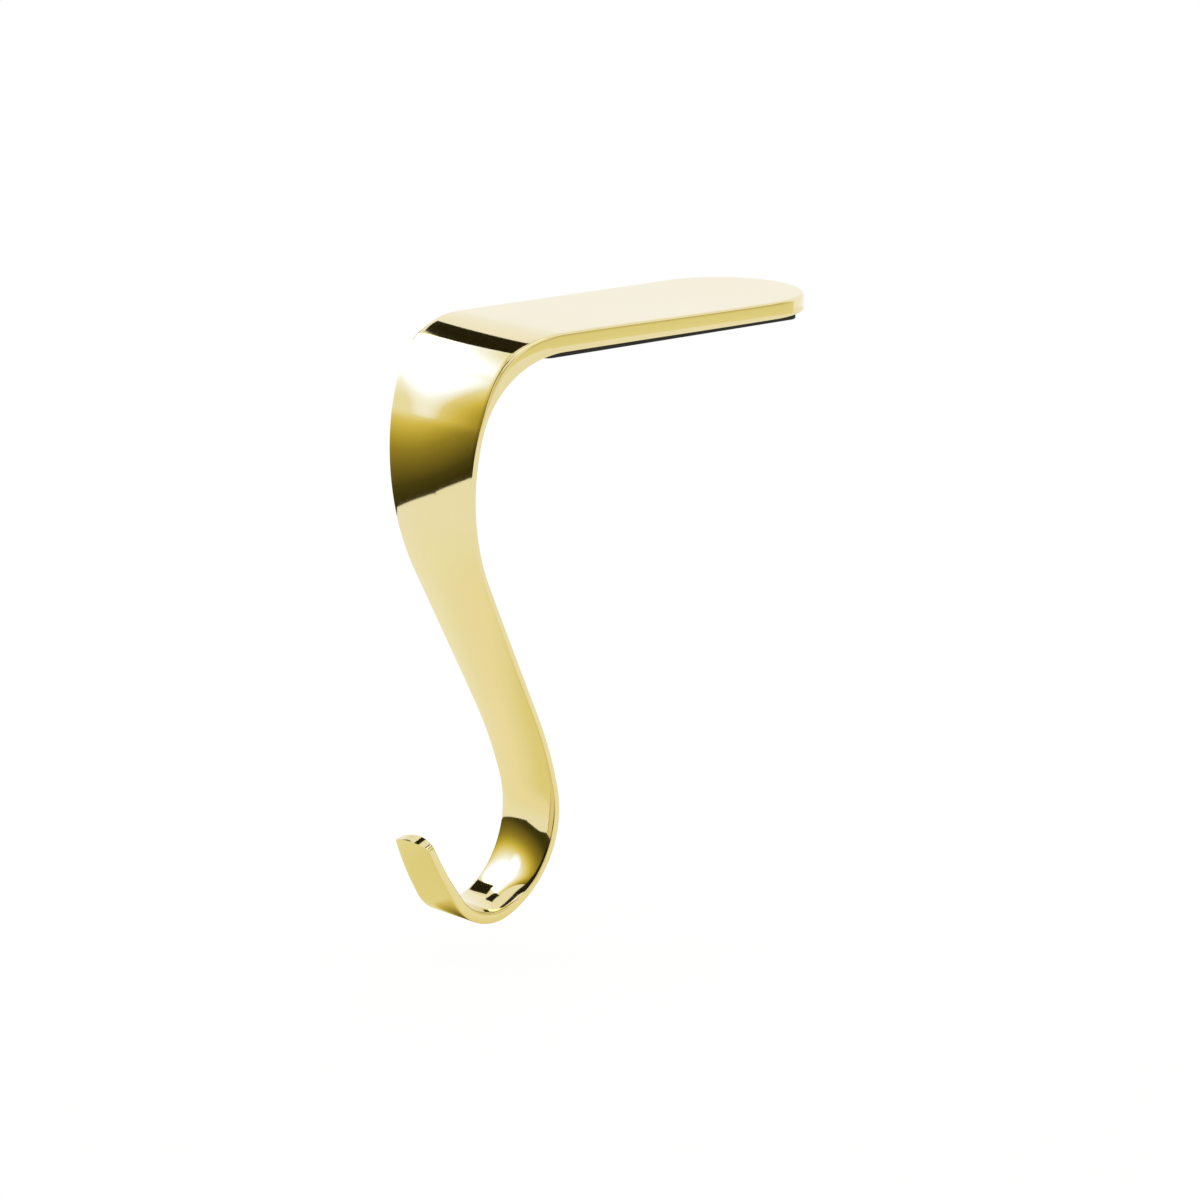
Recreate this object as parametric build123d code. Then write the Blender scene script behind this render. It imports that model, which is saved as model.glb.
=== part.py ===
from build123d import *
import math
import os

# A mantel stocking holder: one polished casting and the soft pad glued under it.
#
# The casting is a flat plate with a round end that lies on a mantel, a bend over the
# mantel's edge, a shank that leans back toward the wall, and a hook at the foot.
# The origin is the middle of the pad's underside, where the holder rests on the mantel.
# +X runs along the plate toward its round end, -X out into the room, +Z up.
# The casting is symmetric about the plane Y = 0.

# Driving dimensions in millimetres and degrees

# Plate
plate_reach = 50.6            # straight part, from the bend to where the end starts to round
plate_end_width = 31.8        # also the diameter of the round end
plate_bend_width = 30.4
plate_end_thickness = 3.1
plate_bend_thickness = 3.5
plate_corner_radius = 0.75    # softened upper edge

# Side view of the strip, along its back face: radius and turn of each arc
bend_radius = 17.2
bend_turn = 78.1
shoulder_radius = 45.3
shoulder_turn = 37.5
shank_straight = 28.8
calf_radius = 78.5
calf_turn = -11.4
heel_radius = 20.0
heel_turn = -77.6
bowl_radius = 9.1
bowl_turn = -84.5
tip_length = 14.0
tip_turn = -11.2

# Cross-section of the strip: flat back, thin edges, crowned front
shank_edge = 1.0
shank_crown = 1.0             # height of the middle above the edges
hook_edge = 2.0
hook_crown = 0.9
tip_edge = 1.3
tip_crown = 0.8
strip_corner_share = 0.3      # corner radius as a share of the edge's thickness

# Width of the strip: at the bend, a third and two thirds of the way down, and at the tip
upper_width = 20.8
lower_width = 15.5
tip_width = 9.8
tip_corner_radius = 0.5

# Where the section changes, measured along the back face from the start of the bend
taper_start = 2.7
thinning_start = 8.3
thinning_end = 22.1
crown_end = 34.0
hook_start = 115.7
hook_end = 132.2
section_spacing = 4.5

# Pad
pad_length = 61.6
pad_width = 28.6
pad_thickness = 1.0
pad_corner_radius = 2.0
pad_under_bend = 3.6          # how far the pad reaches under the start of the bend

# Places that follow from the sizes
bend_start_x = -pad_length / 2 + pad_under_bend
round_start_x = bend_start_x + plate_reach
underside_z = pad_thickness


def build_spine():
    """The back face seen from the side, from the round end to the tip of the hook."""
    plate = Line((round_start_x, underside_z), (bend_start_x, underside_z))
    bend = JernArc(plate @ 1, plate % 1, bend_radius, bend_turn)
    shoulder = JernArc(bend @ 1, bend % 1, shoulder_radius, shoulder_turn)
    shank = Line(shoulder @ 1, shoulder @ 1 + (shoulder % 1) * shank_straight)
    calf = JernArc(shank @ 1, shank % 1, calf_radius, calf_turn)
    heel = JernArc(calf @ 1, calf % 1, heel_radius, heel_turn)
    bowl = JernArc(heel @ 1, heel % 1, bowl_radius, bowl_turn)
    tip = JernArc(bowl @ 1, bowl % 1, tip_length / math.radians(-tip_turn), tip_turn)
    return Plane.XZ * Wire([plate, bend, shoulder, shank, calf, heel, bowl, tip])


spine = build_spine()
strip_length = spine.length - plate_reach


def ease(start, end, low, high, at):
    """A value that goes from low to high between two places, level at both."""
    share = min(max((at - start) / (end - start), 0.0), 1.0)
    share = share * share * (3 - 2 * share)
    return low + (high - low) * share


def half_width(at):
    """Half the width at a place measured from the start of the bend: one smooth curve
    through the four widths."""
    if at <= 0:
        return ease(-plate_reach, 0, plate_end_width, plate_bend_width, at) / 2
    share = max(at - taper_start, 0) / (strip_length - taper_start)
    width = plate_bend_width * (1 - 3 * share) * (1 - 1.5 * share) * (1 - share)
    width += upper_width * 9 * share * (1 - 1.5 * share) * (1 - share)
    width += lower_width * 4.5 * share * (3 * share - 1) * (1 - share)
    width += tip_width * share * (3 * share - 1) * (1.5 * share - 1)
    half = width / 2
    left = strip_length - at
    if left < tip_corner_radius:
        inset = tip_corner_radius - left
        half -= tip_corner_radius - math.sqrt(tip_corner_radius ** 2 - inset ** 2)
    return half


def edge_thickness(at):
    if at <= 0:
        return ease(-plate_reach, 0, plate_end_thickness, plate_bend_thickness, at)
    if at <= hook_start:
        return ease(thinning_start, thinning_end, plate_bend_thickness, shank_edge, at)
    if at <= hook_end:
        return ease(hook_start, hook_end, shank_edge, hook_edge, at)
    return ease(hook_end, strip_length, hook_edge, tip_edge, at)


def crown_height(at):
    if at <= hook_start:
        return ease(0, crown_end, 0, shank_crown, at)
    if at <= hook_end:
        return ease(hook_start, hook_end, shank_crown, hook_crown, at)
    return ease(hook_end, strip_length, hook_crown, tip_crown, at)


def section_wire(half, edge, crown):
    """Flat back on the X axis, upright edges, rounded corners and a crowned front."""
    corner = min(plate_corner_radius, strip_corner_share * edge)
    if crown > 1e-6:
        crown_radius = (half ** 2 + crown ** 2) / (2 * crown)
        crown_centre = edge + crown - crown_radius
        reach = math.sqrt((crown_radius - corner) ** 2 - (half - corner) ** 2)
        corner_z = crown_centre + reach
        corner_angle = math.degrees(math.atan2(reach, half - corner))
    else:
        corner_z = edge - corner
        corner_angle = 90.0
    back = Line((-half, 0), (half, 0))
    right_edge = Line((half, 0), (half, corner_z))
    right_corner = CenterArc((half - corner, corner_z), corner, 0, corner_angle)
    left_corner = CenterArc((corner - half, corner_z), corner, 180 - corner_angle, corner_angle)
    left_edge = Line((-half, corner_z), (-half, 0))
    if crown > 1e-6:
        front = ThreePointArc(right_corner @ 1, (0, edge + crown), left_corner @ 0)
    else:
        front = Line(right_corner @ 1, left_corner @ 0)
    return Wire([back, right_edge, right_corner, front, left_corner, left_edge])


def section_face(at):
    """The strip's cross-section at a place measured from the start of the bend."""
    distance = at + plate_reach
    place = spine.position_at(distance, position_mode=PositionMode.LENGTH)
    along = spine.tangent_at(distance, position_mode=PositionMode.LENGTH)
    plane = Plane(origin=place, x_dir=(0, -1, 0), z_dir=along)
    return plane * Face(section_wire(half_width(at), edge_thickness(at), crown_height(at)))


def plate_places():
    """Section places along the plate, from the round end to the bend."""
    return [-plate_reach * share for share in (1.0, 0.8, 0.6, 0.4, 0.2, 0.0)]


def strip_places():
    """Section places from the bend to the tip, closer together where the tip rounds."""
    body_end = strip_length - tip_corner_radius
    count = math.ceil(body_end / section_spacing)
    body_places = [body_end * step / count for step in range(count + 1)]
    corner_places = [body_end + tip_corner_radius * share for share in (0.5, 1.0)]
    return [0.0, section_spacing / 4] + body_places[1:] + corner_places


def make_hanger():
    """The whole casting: the plate, its turned round end, and the strip down to the hook."""
    plate = loft([section_face(at) for at in plate_places()])
    strip = loft([section_face(at) for at in strip_places()])
    half = plate_end_width / 2
    corner = min(plate_corner_radius, strip_corner_share * plate_end_thickness)
    top = plate_end_thickness
    outline = Polyline((0, 0), (half, 0), (half, top - corner))
    rounding = CenterArc((half - corner, top - corner), corner, 0, 90)
    closing = Polyline((half - corner, top), (0, top), (0, 0))
    profile = Face(Wire([*outline.edges(), *rounding.edges(), *closing.edges()]))
    seat = Plane(origin=(round_start_x, 0, underside_z), x_dir=(0, -1, 0), z_dir=(-1, 0, 0))
    turning_axis = Axis((round_start_x, 0, underside_z), (0, 0, 1))
    round_end = revolve(seat * profile, axis=turning_axis, revolution_arc=180)
    return plate + strip + round_end


def make_grip_pad():
    """The soft pad glued under the plate. Under the bend it is pressed thinner."""
    outline = RectangleRounded(pad_length, pad_width, pad_corner_radius)
    return extrude(outline, amount=pad_thickness) - hanger


hanger = make_hanger()
grip_pad = make_grip_pad()

os.makedirs("parts", exist_ok=True)
export_step(hanger, "parts/hanger.step")
export_step(grip_pad, "parts/grip_pad.step")
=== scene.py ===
import math
import bpy
import bmesh
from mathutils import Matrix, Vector


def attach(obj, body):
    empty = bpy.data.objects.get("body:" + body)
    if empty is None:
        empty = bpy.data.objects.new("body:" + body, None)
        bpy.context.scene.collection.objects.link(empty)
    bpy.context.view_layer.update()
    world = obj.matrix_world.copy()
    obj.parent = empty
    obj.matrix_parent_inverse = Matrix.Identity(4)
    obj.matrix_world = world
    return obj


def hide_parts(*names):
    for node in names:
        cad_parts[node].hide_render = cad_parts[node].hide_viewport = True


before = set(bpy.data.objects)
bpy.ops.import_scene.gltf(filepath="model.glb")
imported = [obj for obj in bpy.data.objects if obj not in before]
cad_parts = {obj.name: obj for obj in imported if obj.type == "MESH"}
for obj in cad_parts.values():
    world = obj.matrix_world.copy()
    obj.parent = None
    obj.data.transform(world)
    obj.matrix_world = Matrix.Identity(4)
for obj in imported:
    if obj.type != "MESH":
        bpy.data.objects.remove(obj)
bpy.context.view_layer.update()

# A mantel stocking holder. The casting's mesh follows the same sizes as the part's source,
# with closer sections, so that it mirrors the studio without facets.
# Sizes are in millimetres and degrees, as in the source. Blender works in metres.
MM = 0.001

# Plate
plate_reach = 50.6
plate_end_width = 31.8
plate_bend_width = 30.4
plate_end_thickness = 3.1
plate_bend_thickness = 3.5
plate_corner_radius = 0.75

# Side view of the strip: radius and turn of each arc along its back face
bend_radius = 17.2
bend_turn = 78.1
shoulder_radius = 45.3
shoulder_turn = 37.5
shank_straight = 28.8
calf_radius = 78.5
calf_turn = -11.4
heel_radius = 20.0
heel_turn = -77.6
bowl_radius = 9.1
bowl_turn = -84.5
tip_length = 14.0
tip_turn = -11.2

# Cross-section of the strip
shank_edge = 1.0
shank_crown = 1.0
hook_edge = 2.0
hook_crown = 0.9
tip_edge = 1.3
tip_crown = 0.8
strip_corner_share = 0.3
back_softening = 0.2          # the tumbled edge of the flat back
upper_width = 20.8            # a third of the way down the strip
lower_width = 15.5            # two thirds of the way down
tip_width = 9.8
tip_corner_radius = 0.5
tip_dome = 0.7                # how far the end face falls away toward its sides
tip_dome_run = 3.0            # how much of the strip's end follows that fall

# Where the section changes, from the start of the bend
taper_start = 2.7
thinning_start = 8.3
thinning_end = 22.1
crown_end = 34.0
hook_start = 115.7
hook_end = 132.2

# Pad
pad_length = 61.6
pad_width = 28.6
pad_thickness = 1.0
pad_corner_radius = 2.0
pad_under_bend = 3.6
pad_edge_softening = 0.25
pad_edge_middle = 0.3         # depth half way round the soft edge, as a share of its radius

bend_start_x = -pad_length / 2 + pad_under_bend
round_start_x = bend_start_x + plate_reach
underside_z = pad_thickness

# Steps of the meshes
back_shares = (0.0, 0.25, 0.5, 0.75)
soft_edge_steps = 4
corner_steps = 6
front_steps = 14              # from the front's corner to its middle
plate_steps = 14
strip_steps = 260
tip_corner_shares = (0.2, 0.4, 0.6, 0.8, 0.92, 1.0)
tip_cap_shares = (0.85, 0.68, 0.5, 0.32, 0.15)
round_end_steps = 48
pad_corner_steps = 8
pad_side_steps = 7            # along the pad's side, where its top dips under the bend
pad_side_spacing = 0.4
flat_crown = 1e-6             # a front that stands up less than this is flat
weld_distance = 1e-7          # in metres
casting_sharp_angle = 35      # an edge that turns more than this looks sharp
pad_sharp_angle = 50

# Each run of the side view: length along the back face, and how far it turns
runs = [
    (math.radians(bend_turn) * bend_radius, bend_turn),
    (math.radians(shoulder_turn) * shoulder_radius, shoulder_turn),
    (shank_straight, 0.0),
    (math.radians(-calf_turn) * calf_radius, calf_turn),
    (math.radians(-heel_turn) * heel_radius, heel_turn),
    (math.radians(-bowl_turn) * bowl_radius, bowl_turn),
    (tip_length, tip_turn),
]
strip_length = sum(length for length, turn in runs)


def back_point(at):
    """Place and heading on the back face, measured from the start of the bend."""
    if at <= 0:
        return bend_start_x - at, underside_z, 0.0
    x, z, heading, left = bend_start_x, underside_z, 0.0, at
    for length, turn in runs:
        step = min(left, length)
        angle = math.radians(turn) * step / length
        chord = step if turn == 0 else 2 * step / angle * math.sin(angle / 2)
        x -= chord * math.cos(heading + angle / 2)
        z -= chord * math.sin(heading + angle / 2)
        heading += angle
        left -= step
        if left <= 0:
            break
    return x, z, heading


def strip_axes(heading):
    """Directions along the strip and out from its back face."""
    along = Vector((-math.cos(heading), 0, -math.sin(heading)))
    return along, Vector((-math.sin(heading), 0, math.cos(heading)))


def ease(start, end, low, high, at):
    """A value that goes from low to high between two places, level at both."""
    share = min(max((at - start) / (end - start), 0.0), 1.0)
    share = share * share * (3 - 2 * share)
    return low + (high - low) * share


def half_width(at):
    """Half the width at a place measured from the start of the bend: one smooth curve
    through the four widths, rounded at the tip's corners."""
    if at <= 0:
        return ease(-plate_reach, 0, plate_end_width, plate_bend_width, at) / 2
    share = max(at - taper_start, 0) / (strip_length - taper_start)
    width = plate_bend_width * (1 - 3 * share) * (1 - 1.5 * share) * (1 - share)
    width += upper_width * 9 * share * (1 - 1.5 * share) * (1 - share)
    width += lower_width * 4.5 * share * (3 * share - 1) * (1 - share)
    width += tip_width * share * (3 * share - 1) * (1.5 * share - 1)
    half = width / 2
    inset = tip_corner_radius - (strip_length - at)
    if inset > 0:
        half -= tip_corner_radius - math.sqrt(tip_corner_radius ** 2 - inset ** 2)
    return half


def edge_thickness(at):
    """Thickness of the strip's upright edges."""
    if at <= 0:
        return ease(-plate_reach, 0, plate_end_thickness, plate_bend_thickness, at)
    if at <= hook_start:
        return ease(thinning_start, thinning_end, plate_bend_thickness, shank_edge, at)
    if at <= hook_end:
        return ease(hook_start, hook_end, shank_edge, hook_edge, at)
    return ease(hook_end, strip_length, hook_edge, tip_edge, at)


def crown_height(at):
    """How far the middle of the front stands above its edges."""
    if at <= hook_start:
        return ease(0, crown_end, 0, shank_crown, at)
    if at <= hook_end:
        return ease(hook_start, hook_end, shank_crown, hook_crown, at)
    return ease(hook_end, strip_length, hook_crown, tip_crown, at)


def tip_fall(y):
    """How far the end face falls away at a distance from its middle."""
    return tip_dome * min(abs(y) / (tip_width / 2), 1.0) ** 2


def arc_points(centre_y, centre_z, radius, start, end, count):
    points = []
    for step in range(count + 1):
        angle = start + (end - start) * step / count
        points.append((centre_y + radius * math.cos(angle), centre_z + radius * math.sin(angle)))
    return points


def section_points(half, edge, crown):
    """Half of the cross-section, from the middle of the back to the middle of the front."""
    corner = min(plate_corner_radius, strip_corner_share * edge)
    soft = back_softening
    flat = half - corner
    quarter = math.pi / 2
    points = [(half * share, 0.0) for share in back_shares]
    points += arc_points(half - soft, soft, soft, -quarter, 0.0, soft_edge_steps)
    if crown > flat_crown:
        crown_radius = (half ** 2 + crown ** 2) / (2 * crown)
        crown_centre = edge + crown - crown_radius
        reach = math.sqrt((crown_radius - corner) ** 2 - flat ** 2)
        lean = math.atan2(reach, flat)
        points += arc_points(flat, crown_centre + reach, corner, 0.0, lean, corner_steps)
        points += arc_points(0.0, crown_centre, crown_radius, lean, quarter, front_steps)[1:]
    else:
        points += arc_points(flat, edge - corner, corner, 0.0, quarter, corner_steps)
        points += [(flat * (1 - step / front_steps), edge) for step in range(1, front_steps + 1)]
    return points


def section_ring(half, edge, crown):
    """The whole cross-section: one half and its mirror image."""
    side = section_points(half, edge, crown)
    return side + [(-y, up) for y, up in reversed(side[1:-1])]


def place_section(at):
    """A closed ring of points of the strip at one place along it."""
    x, z, heading = back_point(at)
    along, out = strip_axes(heading)
    placed = []
    for y, up in section_ring(half_width(at), edge_thickness(at), crown_height(at)):
        back = ease(strip_length - tip_dome_run, strip_length, 0, tip_fall(y), at)
        placed.append((Vector((x, y, z)) + out * up - along * back) * MM)
    return placed


def section_places():
    """Where the casting's sections are, from the round end to the tip, closer at its corners."""
    body_end = strip_length - tip_corner_radius
    places = [-plate_reach * (1 - step / plate_steps) for step in range(plate_steps)]
    places += [body_end * step / strip_steps for step in range(strip_steps + 1)]
    places += [body_end + tip_corner_radius * share for share in tip_corner_shares]
    return places


def join_rows(shape, first, second, closed=True):
    """A band of faces between two rows of points, which are rings if it is closed."""
    count = len(first)
    for index in range(count if closed else count - 1):
        after = (index + 1) % count
        shape.faces.new((first[index], first[after], second[after], second[index]))


def add_tip_cap(shape, ring):
    """The domed end face: rings that shrink toward its middle."""
    x, z, heading = back_point(strip_length)
    along, out = strip_axes(heading)
    middle_up = (tip_edge + tip_crown) / 2
    flat_ring = section_ring(half_width(strip_length), tip_edge, tip_crown)
    for share in tip_cap_shares:
        inner = []
        for y, up in flat_ring:
            spot = Vector((x, y * share, z)) + out * (middle_up + (up - middle_up) * share)
            inner.append(shape.verts.new((spot - along * tip_fall(y * share)) * MM))
        join_rows(shape, ring, inner)
        ring = inner
    shape.faces.new(ring)


def add_round_end(shape):
    """The plate's round end: its section turned half way about the middle of the end."""
    side = section_points(plate_end_width / 2, plate_end_thickness, 0.0)
    fans = []
    for step in range(round_end_steps + 1):
        angle = math.pi / 2 - math.pi * step / round_end_steps
        fan = []
        for out, up in side:
            spot = (round_start_x + out * math.cos(angle), out * math.sin(angle), underside_z + up)
            fan.append(shape.verts.new(Vector(spot) * MM))
        fans.append(fan)
    for first, second in zip(fans, fans[1:]):
        join_rows(shape, first, second, closed=False)


def new_object(name, mesh):
    thing = bpy.data.objects.new(name, mesh)
    bpy.context.scene.collection.objects.link(thing)
    return thing


def finish_shape(shape, name, sharp_angle):
    """The shape as an object, shaded smooth but for its sharp edges."""
    bmesh.ops.recalc_face_normals(shape, faces=shape.faces)
    mesh = bpy.data.meshes.new(name)
    shape.to_mesh(mesh)
    shape.free()
    for polygon in mesh.polygons:
        polygon.use_smooth = True
    mesh.set_sharp_from_angle(angle=math.radians(sharp_angle))
    return new_object(name, mesh)


def make_hanger():
    """The casting as one skin: turned round end, plate, bend, shank and hook."""
    shape = bmesh.new()
    rings = [[shape.verts.new(point) for point in place_section(at)] for at in section_places()]
    for first, second in zip(rings, rings[1:]):
        join_rows(shape, first, second)
    add_tip_cap(shape, rings[-1])
    add_round_end(shape)
    bmesh.ops.remove_doubles(shape, verts=shape.verts, dist=weld_distance)
    bmesh.ops.dissolve_degenerate(shape, dist=weld_distance, edges=shape.edges)
    return finish_shape(shape, "holder_casting", casting_sharp_angle)


def pad_outline(inset):
    """Half of the pad's outline, from its end under the bend to its far end."""
    reach = pad_corner_radius - inset
    centre_x = pad_length / 2 - pad_corner_radius
    centre_y = pad_width / 2 - pad_corner_radius
    side = arc_points(-centre_x, centre_y, reach, math.pi, math.pi / 2, pad_corner_steps)
    for step in range(1, pad_side_steps + 1):
        side.append((-centre_x + step * pad_side_spacing, centre_y + reach))
    side += arc_points(centre_x, centre_y, reach, math.pi / 2, 0.0, pad_corner_steps)
    return side


def pad_top(x):
    """Height of the casting's underside over the pad, which dips where the bend starts."""
    past = max(bend_start_x - x, 0.0)
    return pad_thickness - bend_radius + math.sqrt(bend_radius ** 2 - past ** 2)


def make_pad():
    """The pad as a soft-edged slab with rounded corners, its top against the casting."""
    shape = bmesh.new()
    soft = pad_edge_softening
    middle = soft * pad_edge_middle
    rings = []
    for inset, height in ((soft, 0.0), (middle, middle), (0.0, soft), (0.0, None)):
        ring = []
        side = pad_outline(inset)
        for x, y in side + [(x, -y) for x, y in reversed(side)]:
            z = pad_top(x) if height is None else height
            ring.append(shape.verts.new(Vector((x, y, z)) * MM))
        rings.append(ring)
    for first, second in zip(rings, rings[1:]):
        join_rows(shape, first, second)
    # Underside and top, in strips from side to side
    count = len(rings[0])
    for ring in (rings[0], rings[-1]):
        for index in range(count // 2 - 1):
            far = count - 1 - index
            shape.faces.new((ring[index], ring[index + 1], ring[far - 1], ring[far]))
    return finish_shape(shape, "foam_pad", pad_sharp_angle)


def new_material(name):
    """A material with its nodes, its links and its main shader."""
    material = bpy.data.materials.new(name)
    material.use_nodes = True
    nodes = material.node_tree.nodes
    return material, nodes, material.node_tree.links, nodes["Principled BSDF"]


def add_noise(nodes, links, place, scale, detail):
    noise = nodes.new("ShaderNodeTexNoise")
    noise.inputs["Scale"].default_value = scale
    noise.inputs["Detail"].default_value = detail
    links.new(place, noise.inputs["Vector"])
    return noise.outputs["Fac"]


def add_ramp(nodes, links, value, stops):
    """A colour ramp driven by one value."""
    ramp = nodes.new("ShaderNodeValToRGB")
    while len(ramp.color_ramp.elements) < len(stops):
        ramp.color_ramp.elements.new(0.5)
    for element, (position, colour) in zip(ramp.color_ramp.elements, stops):
        element.position = position
        element.color = (*colour, 1)
    links.new(value, ramp.inputs["Fac"])
    return ramp.outputs["Color"]


def add_bump(nodes, links, height, strength, distance):
    """A bump driven by one value. distance is in metres."""
    bump = nodes.new("ShaderNodeBump")
    bump.inputs["Strength"].default_value = strength
    bump.inputs["Distance"].default_value = distance
    links.new(height, bump.inputs["Height"])
    return bump.outputs["Normal"]


def gold_material():
    """Polished gold plating: a mirror with a very slight ripple from the casting."""
    material, nodes, links, shader = new_material("polished_gold")
    shader.inputs["Metallic"].default_value = 1.0
    place = nodes.new("ShaderNodeTexCoord").outputs["Object"]
    tone = add_noise(nodes, links, place, scale=18.0, detail=2.0)
    tint = add_ramp(nodes, links, tone, [(0.3, (0.79, 0.69, 0.365)), (0.7, (0.815, 0.712, 0.392))])
    links.new(tint, shader.inputs["Base Color"])
    haze = nodes.new("ShaderNodeMapRange")
    haze.inputs["To Min"].default_value = 0.035
    haze.inputs["To Max"].default_value = 0.075
    links.new(add_noise(nodes, links, place, scale=700.0, detail=4.0), haze.inputs["Value"])
    links.new(haze.outputs["Result"], shader.inputs["Roughness"])
    swell = add_noise(nodes, links, place, scale=90.0, detail=1.0)
    ripple = add_bump(nodes, links, swell, strength=0.05, distance=0.0002)
    links.new(ripple, shader.inputs["Normal"])
    return material


def foam_material():
    """Black closed-cell foam: fine pores, almost no shine."""
    material, nodes, links, shader = new_material("pad_foam")
    shader.inputs["Roughness"].default_value = 0.85
    place = nodes.new("ShaderNodeTexCoord").outputs["Object"]
    pores = nodes.new("ShaderNodeTexVoronoi")
    pores.inputs["Scale"].default_value = 2600.0
    links.new(place, pores.inputs["Vector"])
    depth = pores.outputs["Distance"]
    shade = add_ramp(nodes, links, depth, [(0.0, (0.006,) * 3), (1.0, (0.020,) * 3)])
    links.new(shade, shader.inputs["Base Color"])
    bump = add_bump(nodes, links, depth, strength=0.4, distance=0.00005)
    links.new(bump, shader.inputs["Normal"])
    return material


casting = make_hanger()
casting.data.materials.append(gold_material())
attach(casting, "root")
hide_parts("hanger")

pad = make_pad()
pad.data.materials.append(foam_material())
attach(pad, "root")
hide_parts("grip_pad")

# Studio, in metres: a white floor and a white room, a large soft light on the left, dark
# flags beside and above it, a white card behind, warm cards in front and on the right, and a
# small light overhead. The camera sees only the floor and the room. Bearings are in degrees:
# 0 is in front of the object, toward -Y, and 90 is toward +X.
floor_height = -0.113
floor_edge_bearing = 176      # where the floor ends, which the metal mirrors
floor_edge_distance = 0.215
floor_size = 6
wall_steps = 24

# The soft light's card. Its lower edge lifts off the floor toward its far side.
left_light_distance = 0.34
left_light_bearings = (178, 264)
left_light_heights = (-0.26, 0.36)
lift_bearing = 226
lift_start = (228, -0.110)    # bearing and height
lift_rate = 0.0026            # height for each degree
lift_top = -0.073

# Its main lobe, and a second one beside it. Each is given by the bearing and height of its
# middle, the unit of its fading across and up, the units that its ramp covers, and its
# colours by units from the middle: white, then gold, olive and dark.
soft_light_strength = 3.0
main_middle = (187.5, 0.160)
main_spread = (44, 0.174)
main_outer = 1.9
main_colours = (
    (0.64, (2.9, 2.9, 3.0)),
    (0.71, (1.90, 2.05, 3.00)),
    (0.78, (1.24, 1.38, 2.20)),
    (0.90, (1.08, 1.14, 1.40)),
    (0.98, (0.98, 0.99, 0.87)),
    (1.05, (0.93, 0.87, 0.54)),
    (1.15, (0.79, 0.665, 0.17)),
    (1.25, (0.55, 0.45, 0.075)),
    (1.35, (0.355, 0.288, 0.045)),
    (1.45, (0.245, 0.197, 0.033)),
    (1.55, (0.158, 0.128, 0.023)),
    (1.65, (0.080, 0.067, 0.014)),
    (1.75, (0.050, 0.043, 0.009)),
)
second_middle = (219.5, 0.118)
second_spread = (10.5, 0.090)
second_outer = 1.2
second_colours = (
    (0.40, (2.40, 2.60, 3.00)),
    (0.60, (1.28, 1.45, 2.45)),
    (0.72, (1.17, 1.28, 1.85)),
    (0.83, (1.08, 1.13, 1.37)),
    (0.91, (0.98, 0.97, 0.86)),
    (0.98, (0.87, 0.76, 0.36)),
    (1.06, (0.60, 0.50, 0.14)),
    (1.16, (0.0, 0.0, 0.0)),
)

# Dark flags between the soft light and the rear card, and over the light's top and far side.
# The low flag leans: its feet and tops have bearings of their own. The others go by bearing,
# lower edge and upper edge.
flag_distance = 0.335
flag_colour = (0.02, 0.016, 0.006)
low_flag_top = 0.19
low_flag_bearings = ((165.2, 170.5), (173.5, 185))
high_flag_edges = (
    (158.8, 0.19, 0.295),
    (164, 0.205, 0.31),
    (170.7, 0.236, 0.33),
    (174.5, 0.248, 0.34),
    (177.9, 0.262, 0.35),
    (179.3, 0.28, 0.355),
    (179.9, 0.30, 0.36),
)
arch_flag_edges = (
    (148, 0.40, 0.50),
    (160, 0.49, 0.61),
    (171, 0.55, 0.67),
    (189, 0.57, 0.69),
    (212, 0.48, 0.60),
    (224, 0.41, 0.60),
    (235, 0.33, 0.60),
    (242, 0.235, 0.60),
    (247, 0.165, 0.60),
    (250, 0.09, 0.60),
    (252, 0.0, 0.60),
    (258, 0.0, 0.60),
)

# White card behind, cooler near the floor
rear_card_bearings = (60, 162)
rear_card_distance = 0.60
rear_card_top = 0.42
rear_card_colours = ((0.0, (1.05, 1.08, 1.20)), (1.0, (1.05, 1.06, 1.16)))

# Warm cards in front and on the right, which shade the metal's upright sides
front_card_bearings = (-70, -8)
front_card_distance = 0.9
front_card_top = 0.75
right_card_bearings = (6, 78)
right_card_distance = 0.45
right_card_top = 0.40
warm_card_colours = ((0.0, (0.92, 0.87, 0.57)), (0.3, (0.84, 0.79, 0.44)),
                     (1.0, (0.55, 0.48, 0.20)))

# Small light overhead: its sides in X, and its near and far edges in Y and height
top_light_sides = (-0.12, 0.16)
top_light_near = (0.0, 0.500)
top_light_far = (0.22, 0.501)
top_light_colour = (1.5, 1.5, 1.6)

# The room, and the floor as the camera sees it: lit paper, and mostly a glow of its own
room_colour = (0.9, 0.9, 0.9)
floor_colour = (0.9, 0.9, 0.9)
floor_glow = 1.02
floor_glow_share = 0.93

# The floor as the metal mirrors it, by distance from a place on it: painted warm light around the
# hook, for the light that the metal throws on it, and a dark painted shadow right under the hook
painted_light_middle = (-0.050, 0.0, floor_height)
painted_light_reach = (0.20, 0.20, 0.20)
painted_light_colours = (
    (0.12, (0.88, 0.83, 0.47)),
    (0.20, (0.96, 0.92, 0.70)),
    (0.26, (1.0, 0.95, 0.77)),
    (0.38, (0.98, 0.95, 0.80)),
    (0.53, (0.99, 0.99, 0.88)),
    (0.95, (1.0, 1.0, 1.0)),
)
# Painted shadow: dark right under the hook, seen only in the metal
painted_shadow_middle = (-0.033, 0.006, floor_height)
painted_shadow_reach = (0.016, 0.010, 1)
painted_shadow_colours = (
    (0.35, (0.20, 0.165, 0.06)),
    (0.66, (0.56, 0.46, 0.17)),
    (0.88, (0.86, 0.76, 0.47)),
    (1.0, (1.0, 1.0, 1.0)),
)


def bearing(azimuth, distance, height=0.0):
    """The place at a bearing, a distance and a height from the origin."""
    angle = math.radians(azimuth)
    return Vector((math.sin(angle) * distance, -math.cos(angle) * distance, height))


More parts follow.
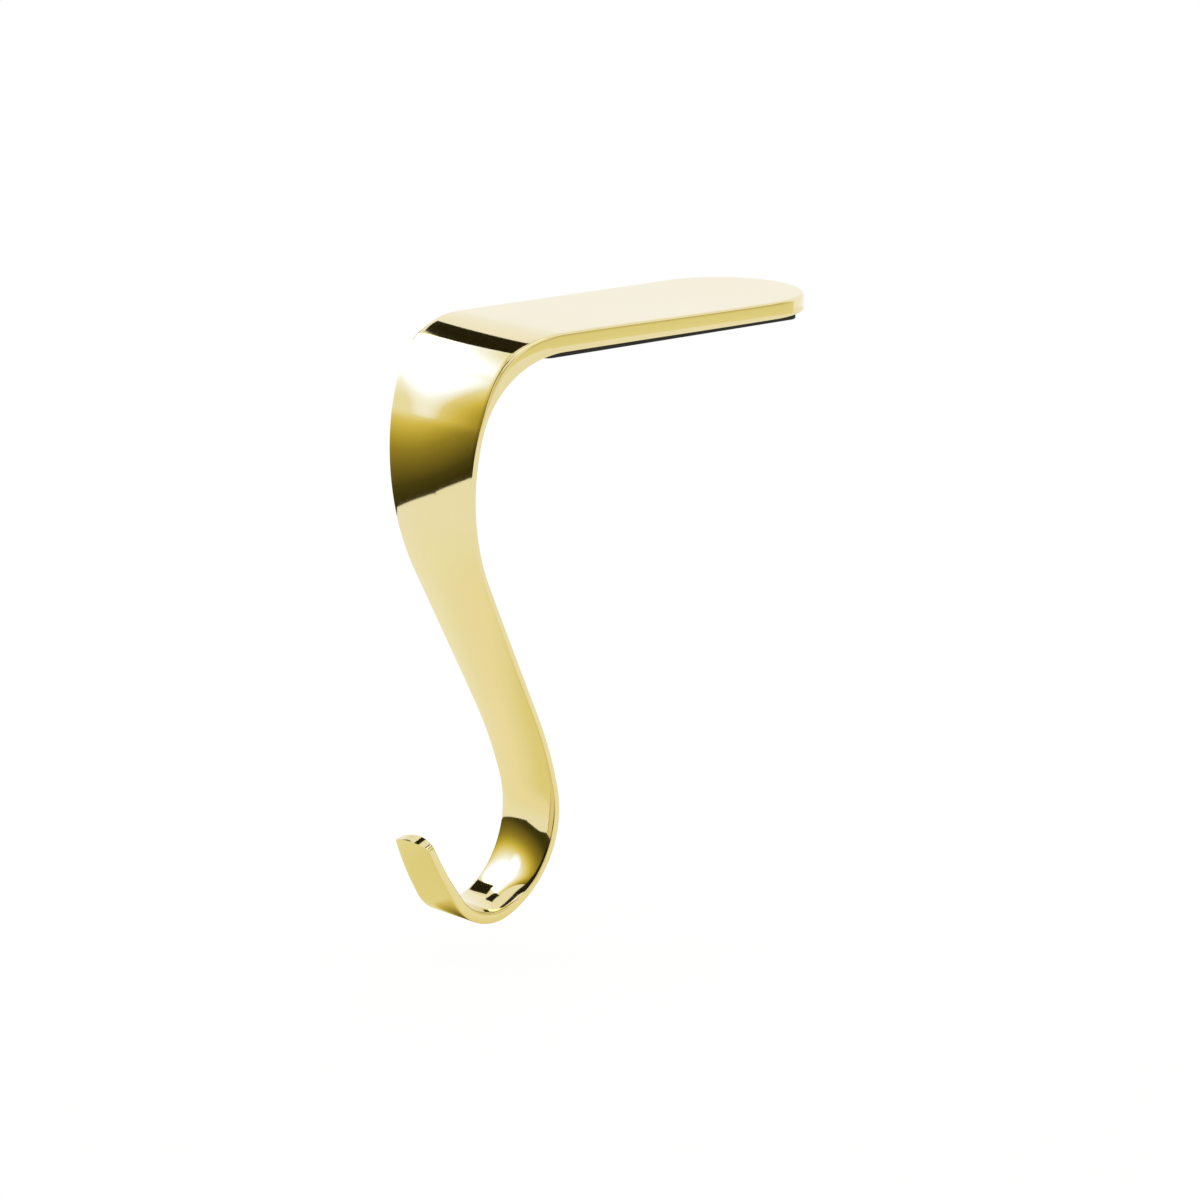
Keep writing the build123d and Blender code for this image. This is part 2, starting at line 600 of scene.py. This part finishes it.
def distance_from(nodes, links, place, middle, reach):
    """Distance from a place, in units of reach."""
    spread = nodes.new("ShaderNodeMapping")
    spread.vector_type = "TEXTURE"
    spread.inputs["Location"].default_value = middle
    spread.inputs["Scale"].default_value = reach
    far = nodes.new("ShaderNodeVectorMath")
    far.operation = "LENGTH"
    links.new(place, spread.inputs["Vector"])
    links.new(spread.outputs["Vector"], far.inputs[0])
    return far.outputs["Value"]


def combine_colours(nodes, links, operation, first, second):
    both = nodes.new("ShaderNodeVectorMath")
    both.operation = operation
    links.new(first, both.inputs[0])
    links.new(second, both.inputs[1])
    return both.outputs["Vector"]


def ray_kinds(nodes, links, *kinds):
    """1 for rays of the named kinds, 0 for others."""
    rays = nodes.new("ShaderNodeLightPath")
    chosen = rays.outputs[kinds[0]]
    for kind in kinds[1:]:
        larger = nodes.new("ShaderNodeMath")
        larger.operation = "MAXIMUM"
        links.new(chosen, larger.inputs[0])
        links.new(rays.outputs[kind], larger.inputs[1])
        chosen = larger.outputs["Value"]
    return chosen


def mix_shaders(nodes, links, first, second):
    """A mix of two shaders. Its Fac, the share of the second, is set by the caller."""
    mix = nodes.new("ShaderNodeMixShader")
    links.new(first, mix.inputs[1])
    links.new(second, mix.inputs[2])
    return mix


def add_glow(nodes, strength):
    glow = nodes.new("ShaderNodeEmission")
    glow.inputs["Strength"].default_value = strength
    return glow


def glow_material(name, strength, colour_of):
    """A glowing surface. colour_of adds the nodes for its colour, given in units of
    strength, from the place on the card."""
    material = bpy.data.materials.new(name)
    material.use_nodes = True
    nodes = material.node_tree.nodes
    links = material.node_tree.links
    nodes.clear()
    output = nodes.new("ShaderNodeOutputMaterial")
    glow = add_glow(nodes, strength)
    place = nodes.new("ShaderNodeTexCoord")
    links.new(colour_of(nodes, links, place.outputs["UV"]), glow.inputs["Color"])
    links.new(glow.outputs["Emission"], output.inputs["Surface"])
    return material


def in_units(colours, strength):
    """The same colours in units of strength, with their places as they are."""
    return [(at, [channel / strength for channel in colour]) for at, colour in colours]


def card_material(name, colours):
    """A glowing card whose colours go from foot to top."""
    strength = max(max(colour) for position, colour in colours)

    def by_height(nodes, links, place):
        split = nodes.new("ShaderNodeSeparateXYZ")
        links.new(place, split.inputs["Vector"])
        return add_ramp(nodes, links, split.outputs["Y"], in_units(colours, strength))

    return glow_material(name, strength, by_height)


def lobe(nodes, links, place, middle, spread, outer, colours):
    """One lobe of the soft light, from its place on the light's card."""
    bearings, heights = left_light_bearings, left_light_heights
    wide = bearings[1] - bearings[0]
    tall = heights[1] - heights[0]
    centre = ((middle[0] - bearings[0]) / wide, (middle[1] - heights[0]) / tall, 0)
    reach = (outer * spread[0] / wide, outer * spread[1] / tall, 1)
    far = distance_from(nodes, links, place, centre, reach)
    stops = [(unit / outer, colour) for unit, colour in in_units(colours, soft_light_strength)]
    return add_ramp(nodes, links, far, stops)


def soft_light_colour(nodes, links, place):
    """The brighter of the soft light's two lobes."""
    main = lobe(nodes, links, place, main_middle, main_spread, main_outer, main_colours)
    second = lobe(nodes, links, place, second_middle, second_spread, second_outer, second_colours)
    return combine_colours(nodes, links, "MAXIMUM", main, second)


def card(name, corners, material):
    """A card of upright strips: pairs of corners, foot and top, from left to right.
    Its colours are placed by how far along it they are and by height."""
    feet, tops = zip(*corners)
    count = len(corners)
    low = min(foot.z for foot in feet)
    high = max(top.z for top in tops)
    mesh = bpy.data.meshes.new(name)
    strips = [(i, i + 1, count + i + 1, count + i) for i in range(count - 1)]
    mesh.from_pydata([tuple(spot) for spot in feet + tops], [], strips)
    layer = mesh.uv_layers.new(name="UVMap")
    for loop, spot in zip(mesh.loops, layer.data):
        place = mesh.vertices[loop.vertex_index].co
        spot.uv = (loop.vertex_index % count / (count - 1), (place.z - low) / (high - low))
    mesh.materials.append(material)
    thing = new_object(name, mesh)
    thing.visible_camera = False
    thing.visible_shadow = False


def wall(name, bearings, distance, heights, material, foot=None):
    """An upright curved card between two bearings. foot gives its lower edge by bearing."""
    left, right = bearings
    low, high = heights
    corners = []
    for step in range(wall_steps + 1):
        turn = left + (right - left) * step / wall_steps
        edge = foot(turn) if foot else low
        corners.append((bearing(turn, distance, edge), bearing(turn, distance, high)))
    card(name, corners, material)


def light_foot(azimuth):
    """The soft light's lower edge at a bearing."""
    if azimuth < lift_bearing:
        return left_light_heights[0]
    start, height = lift_start
    return min(height + (azimuth - start) * lift_rate, lift_top)


def flag(name, edges, material):
    corners = []
    for azimuth, low, high in edges:
        corners.append((bearing(azimuth, flag_distance, low), bearing(azimuth, flag_distance, high)))
    card(name, corners, material)


def floor_material():
    """White paper: nearly white to the camera; the metal mirrors it with painted light and shadow.
    """
    material, nodes, links, diffuse = new_material("pale_floor")
    diffuse.inputs["Base Color"].default_value = (*floor_colour, 1)
    diffuse.inputs["Roughness"].default_value = 1.0
    plain = diffuse.outputs["BSDF"]
    paper = mix_shaders(nodes, links, plain, add_glow(nodes, floor_glow).outputs["Emission"])
    paper.inputs["Fac"].default_value = floor_glow_share
    seen = mix_shaders(nodes, links, plain, paper.outputs["Shader"])
    links.new(ray_kinds(nodes, links, "Is Camera Ray"), seen.inputs["Fac"])
    place = nodes.new("ShaderNodeTexCoord").outputs["Object"]
    # Painted light: a warm glow on the floor around the hook, which only the metal mirrors
    from_painted_light = distance_from(nodes, links, place, painted_light_middle, painted_light_reach)
    tint = add_ramp(nodes, links, from_painted_light, painted_light_colours)
    # Painted shadow: a dark patch right under the hook, which only the metal mirrors
    from_painted_shadow = distance_from(nodes, links, place, painted_shadow_middle, painted_shadow_reach)
    shade = add_ramp(nodes, links, from_painted_shadow, painted_shadow_colours)
    mirrored = add_glow(nodes, 1.0)
    links.new(combine_colours(nodes, links, "MULTIPLY", tint, shade), mirrored.inputs["Color"])
    blend = mix_shaders(nodes, links, seen.outputs["Shader"], mirrored.outputs["Emission"])
    mirror_rays = ray_kinds(nodes, links, "Is Glossy Ray", "Is Transmission Ray")
    links.new(mirror_rays, blend.inputs["Fac"])
    links.new(blend.outputs["Shader"], nodes["Material Output"].inputs["Surface"])
    return material


def make_floor():
    """A square floor: one edge lies past the object, toward +Y, and the rest toward -Y."""
    middle = bearing(floor_edge_bearing, floor_edge_distance)
    away = -bearing(floor_edge_bearing, 1)
    along = Vector((-away.y, away.x, 0))
    half = floor_size / 2
    corners = [middle - along * half, middle + away * floor_size - along * half,
               middle + away * floor_size + along * half, middle + along * half]
    mesh = bpy.data.meshes.new("floor")
    mesh.from_pydata([(c.x, c.y, floor_height) for c in corners], [], [(0, 1, 2, 3)])
    mesh.materials.append(floor_material())
    return new_object("floor", mesh)


def make_world():
    """White to the camera and in the metal, plain light on rough surfaces."""
    world = bpy.data.worlds.new("studio")
    bpy.context.scene.world = world
    world.use_nodes = True
    nodes = world.node_tree.nodes
    links = world.node_tree.links
    plain = nodes["Background"]
    plain.inputs["Color"].default_value = (*room_colour, 1)
    backdrop = nodes.new("ShaderNodeBackground")
    backdrop.inputs["Color"].default_value = (1, 1, 1, 1)
    mix = mix_shaders(nodes, links, plain.outputs["Background"], backdrop.outputs["Background"])
    white_rays = ray_kinds(nodes, links, "Is Camera Ray", "Is Glossy Ray", "Is Transmission Ray")
    links.new(white_rays, mix.inputs["Fac"])
    links.new(mix.outputs["Shader"], nodes["World Output"].inputs["Surface"])


soft_light = glow_material("soft_light", soft_light_strength, soft_light_colour)
wall("left_light", left_light_bearings, left_light_distance, left_light_heights, soft_light,
     foot=light_foot)

black = card_material("black_flag", [(0.0, flag_colour), (1.0, flag_colour)])
low_flag = [(bearing(foot, flag_distance, 0.0), bearing(top, flag_distance, low_flag_top))
            for foot, top in low_flag_bearings]
card("low_flag", low_flag, black)
flag("high_flag", high_flag_edges, black)
flag("arch_flag", arch_flag_edges, black)

white = card_material("white_card", rear_card_colours)
wall("rear_card", rear_card_bearings, rear_card_distance, (floor_height, rear_card_top), white)

warm = card_material("warm_card", warm_card_colours)
wall("front_card", front_card_bearings, front_card_distance, (floor_height, front_card_top), warm)
wall("right_card", right_card_bearings, right_card_distance, (floor_height, right_card_top), warm)

top_light = card_material("top_light", [(0.0, top_light_colour), (1.0, top_light_colour)])
top_corners = [(Vector((x, *top_light_near)), Vector((x, *top_light_far))) for x in top_light_sides]
card("top_light", top_corners, top_light)

floor = make_floor()
make_world()

# Camera: from the left and above, looking along the plate. Its angles are in degrees, its
# distance in metres, and the rest in millimetres.
camera_azimuth = -40.33
camera_elevation = 13.31
camera_distance = 1.0989
mark_from_bend = 14.6         # a mark on the plate's top, that far from the start of the bend
view_right = 5.13             # where the view's middle lies, across and up from that mark
view_up = -52.78

turn = math.radians(camera_azimuth)
tilt = math.radians(camera_elevation)
to_right = Vector((math.cos(turn), math.sin(turn), 0))
to_camera = Vector((math.sin(turn) * math.cos(tilt), -math.cos(turn) * math.cos(tilt),
                    math.sin(tilt)))
upward = to_camera.cross(to_right)
mark = Vector((bend_start_x + mark_from_bend, 0, pad_thickness + plate_bend_thickness))
target = (mark + to_right * view_right + upward * view_up) * MM
camera_data = bpy.data.cameras.new("camera")
camera_data.lens = 180
camera_data.sensor_width = 36
camera_data.clip_start = 0.01
camera = new_object("camera", camera_data)
camera.location = target + to_camera * camera_distance
camera.rotation_euler = to_camera.to_track_quat("Z", "Y").to_euler()
bpy.context.scene.camera = camera

bpy.context.scene.view_settings.view_transform = "Standard"
